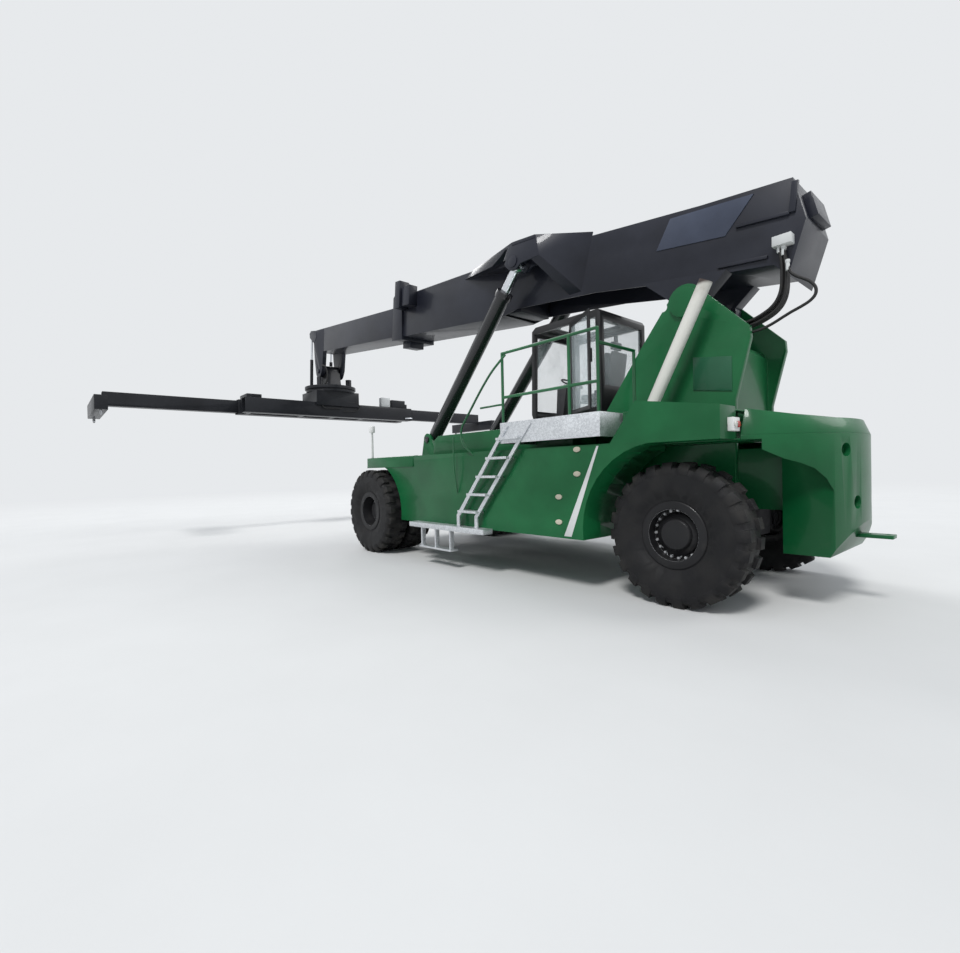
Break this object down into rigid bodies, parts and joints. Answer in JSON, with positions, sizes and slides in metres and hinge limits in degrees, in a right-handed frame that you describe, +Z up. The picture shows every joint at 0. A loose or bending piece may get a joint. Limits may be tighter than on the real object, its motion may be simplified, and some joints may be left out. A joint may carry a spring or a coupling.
{
  "type": "reach stacker",
  "caption": "Container handler with a rear-steered wheeled chassis, central cab, lifting telescopic boom and a slewing, telescoping spreader with twistlocks.",
  "frame": {"origin": "on the ground under the middle of the whole machine's box, as parked", "axes": "+X forward along the machine, +Y to its left, +Z up"},
  "size_m": [15.4178, 12.235, 6.2246],
  "materials": {
    "body_green": "gloss",
    "boom_black": "semi-gloss",
    "spreader_black": "semi-gloss",
    "cylinder_black": "gloss",
    "rod_chrome": "polished",
    "zinc": "hot-dip galvanised",
    "tyre_rubber": "matt",
    "rim_black": "satin",
    "lock_steel": "machined",
    "cab_glazing": "clear",
    "cab_black": "satin",
    "cab_plastic": "matt",
    "seat_fabric": "woven",
    "exhaust_white": "heat-proof matt",
    "lamp_white": "lens and housing",
    "engine_iron": "cast",
    "axle_paint": "satin",
    "drive_grey": "satin",
    "fitting_grey": "satin"
  },
  "bodies": {
    "chassis": {"chassis_frame": "body_green", "tower": "body_green", "front_axle": "axle_paint", "rear_axle": "axle_paint", "side_body_left": "body_green", "side_body_right": "body_green", "counterweight": "body_green", "hood": "body_green", "engine": "engine_iron", "exhaust": "exhaust_white", "access_steps": "zinc", "railings": "body_green", "lamps": "lamp_white", "cab_shell": "cab_black", "cab_glass": "cab_glazing", "seat": "seat_fabric", "console": "cab_plastic"},
    "wheel_front_left": {"tyres_front_left": "tyre_rubber", "rims_front_left": "rim_black"},
    "wheel_front_right": {"tyres_front_right": "tyre_rubber", "rims_front_right": "rim_black"},
    "knuckle_left": {"knuckle_left": "axle_paint"},
    "knuckle_right": {"knuckle_right": "axle_paint"},
    "wheel_rear_left": {"tyre_rear_left": "tyre_rubber", "rim_rear_left": "rim_black"},
    "wheel_rear_right": {"tyre_rear_right": "tyre_rubber", "rim_rear_right": "rim_black"},
    "cab_door": {"cab_door": "cab_black", "door_glass": "cab_glazing"},
    "boom": {"outer_boom": "boom_black", "boom_fittings": "fitting_grey"},
    "inner_boom": {"inner_boom": "boom_black", "boom_head": "boom_black"},
    "barrel_left": {"barrel_left": "cylinder_black"},
    "barrel_right": {"barrel_right": "cylinder_black"},
    "rod_left": {"rod_left": "rod_chrome"},
    "rod_right": {"rod_right": "rod_chrome"},
    "yoke": {"yoke": "spreader_black"},
    "damper_barrels": {"damper_barrels": "cylinder_black"},
    "damper_rods": {"damper_rods": "rod_chrome"},
    "slew_table": {"slew_table": "spreader_black"},
    "spreader": {"spreader_frame": "spreader_black", "spreader_drive": "drive_grey"},
    "arm_left": {"arm_left": "spreader_black"},
    "arm_right": {"arm_right": "spreader_black"},
    "twistlock_front_left": {"twistlock_front_left": "lock_steel"},
    "twistlock_rear_left": {"twistlock_rear_left": "lock_steel"},
    "twistlock_front_right": {"twistlock_front_right": "lock_steel"},
    "twistlock_rear_right": {"twistlock_rear_right": "lock_steel"}
  },
  "joints": [
    {"name": "wheel_front_left_spin", "type": "hinge", "parent": "chassis", "child": "wheel_front_left", "pos_m": [0.35111, 1.835, 0.83], "axis": [0, 1, 0], "continuous": true},
    {"name": "wheel_front_right_spin", "type": "hinge", "parent": "chassis", "child": "wheel_front_right", "pos_m": [0.35111, -1.835, 0.83], "axis": [0, 1, 0], "continuous": true},
    {"name": "steer_left", "type": "hinge", "parent": "chassis", "child": "knuckle_left", "pos_m": [-5.90889, 1.05, 0.83], "axis": [0, 0, 1], "range_deg": [-40, 40]},
    {"name": "steer_right", "type": "hinge", "parent": "chassis", "child": "knuckle_right", "pos_m": [-5.90889, -1.05, 0.83], "axis": [0, 0, 1], "range_deg": [-40, 40]},
    {"name": "wheel_rear_left_spin", "type": "hinge", "parent": "knuckle_left", "child": "wheel_rear_left", "pos_m": [-5.90889, 1.42, 0.83], "axis": [0, 1, 0], "continuous": true},
    {"name": "wheel_rear_right_spin", "type": "hinge", "parent": "knuckle_right", "child": "wheel_rear_right", "pos_m": [-5.90889, -1.42, 0.83], "axis": [0, 1, 0], "continuous": true},
    {"name": "cab_door_swing", "type": "hinge", "parent": "chassis", "child": "cab_door", "pos_m": [-3.72889, 0.65, 3.12], "axis": [0, 0, 1], "range_deg": [-150, 10]},
    {"name": "boom_lift", "type": "hinge", "parent": "chassis", "child": "boom", "pos_m": [-5.60889, 0, 3.73], "axis": [0, -1, 0], "range_deg": [-6.2, 51.8]},
    {"name": "boom_retract", "type": "slide", "parent": "boom", "child": "inner_boom", "axis": [-0.9942, 0, -0.108], "range_m": [-2.8, 4.2]},
    {"name": "barrel_left_swing", "type": "hinge", "parent": "chassis", "child": "barrel_left", "pos_m": [-0.20889, 0.8, 2.27], "axis": [0, -1, 0], "range_deg": [-3, 8]},
    {"name": "barrel_right_swing", "type": "hinge", "parent": "chassis", "child": "barrel_right", "pos_m": [-0.20889, -0.8, 2.27], "axis": [0, -1, 0], "range_deg": [-3, 8]},
    {"name": "rod_left_stroke", "type": "slide", "parent": "barrel_left", "child": "rod_left", "axis": [-0.6752, 0, 0.7376], "range_m": [-0.4, 2.8]},
    {"name": "rod_right_stroke", "type": "slide", "parent": "barrel_right", "child": "rod_right", "axis": [-0.6752, 0, 0.7376], "range_m": [-0.4, 2.8]},
    {"name": "yoke_level", "type": "hinge", "parent": "inner_boom", "child": "yoke", "pos_m": [6.48989, 0, 4.85021], "axis": [0, -1, 0], "range_deg": [-51.9, 6.3]},
    {"name": "damper_swing", "type": "hinge", "parent": "yoke", "child": "damper_barrels", "pos_m": [7.19989, 0, 4.43021], "axis": [0, -1, 0], "range_deg": [-20, 60]},
    {"name": "damper_stroke", "type": "slide", "parent": "damper_barrels", "child": "damper_rods", "axis": [-0.0847, 0, 0.9964], "range_m": [-0.4, 0.9]},
    {"name": "slew", "type": "hinge", "parent": "yoke", "child": "slew_table", "pos_m": [6.48989, 0, 4.25021], "axis": [0, 0, 1], "range_deg": [-105, 195]},
    {"name": "side_shift", "type": "slide", "parent": "slew_table", "child": "spreader", "axis": [0, 1, 0], "range_m": [-0.8, 0.8]},
    {"name": "arm_left_stroke", "type": "slide", "parent": "spreader", "child": "arm_left", "axis": [0, -1, 0], "range_m": [0, 3.066]},
    {"name": "arm_right_stroke", "type": "slide", "parent": "spreader", "child": "arm_right", "axis": [0, 1, 0], "range_m": [0, 3.066]},
    {"name": "twistlock_front_left_turn", "type": "hinge", "parent": "arm_left", "child": "twistlock_front_left", "pos_m": [7.61939, 5.9925, 3.16421], "axis": [0, 0, 1], "range_deg": [0, 90]},
    {"name": "twistlock_front_right_turn", "type": "hinge", "parent": "arm_right", "child": "twistlock_front_right", "pos_m": [7.61939, -5.9925, 3.16421], "axis": [0, 0, 1], "range_deg": [0, 90]},
    {"name": "twistlock_rear_left_turn", "type": "hinge", "parent": "arm_left", "child": "twistlock_rear_left", "pos_m": [5.36039, 5.9925, 3.16421], "axis": [0, 0, 1], "range_deg": [0, 90]},
    {"name": "twistlock_rear_right_turn", "type": "hinge", "parent": "arm_right", "child": "twistlock_rear_right", "pos_m": [5.36039, -5.9925, 3.16421], "axis": [0, 0, 1], "range_deg": [0, 90]}
  ],
  "couplings": [
    {"joint": "steer_right", "follows": "steer_left", "ratio": 1},
    {"joint": "barrel_left_swing", "follows": "boom_lift", "ratio": 0.07585},
    {"joint": "barrel_right_swing", "follows": "boom_lift", "ratio": 0.07585},
    {"joint": "rod_left_stroke", "follows": "boom_lift", "m_per_rad": 2.9959},
    {"joint": "rod_right_stroke", "follows": "boom_lift", "m_per_rad": 2.9959},
    {"joint": "yoke_level", "follows": "boom_lift", "ratio": -1},
    {"joint": "damper_swing", "follows": "boom_lift", "ratio": 0.66638},
    {"joint": "damper_stroke", "follows": "boom_lift", "m_per_rad": 0.48832},
    {"joint": "arm_right_stroke", "follows": "arm_left_stroke", "ratio": 1},
    {"joint": "twistlock_front_right_turn", "follows": "twistlock_front_left_turn", "ratio": 1},
    {"joint": "twistlock_rear_left_turn", "follows": "twistlock_front_left_turn", "ratio": 1},
    {"joint": "twistlock_rear_right_turn", "follows": "twistlock_front_left_turn", "ratio": 1}
  ]
}
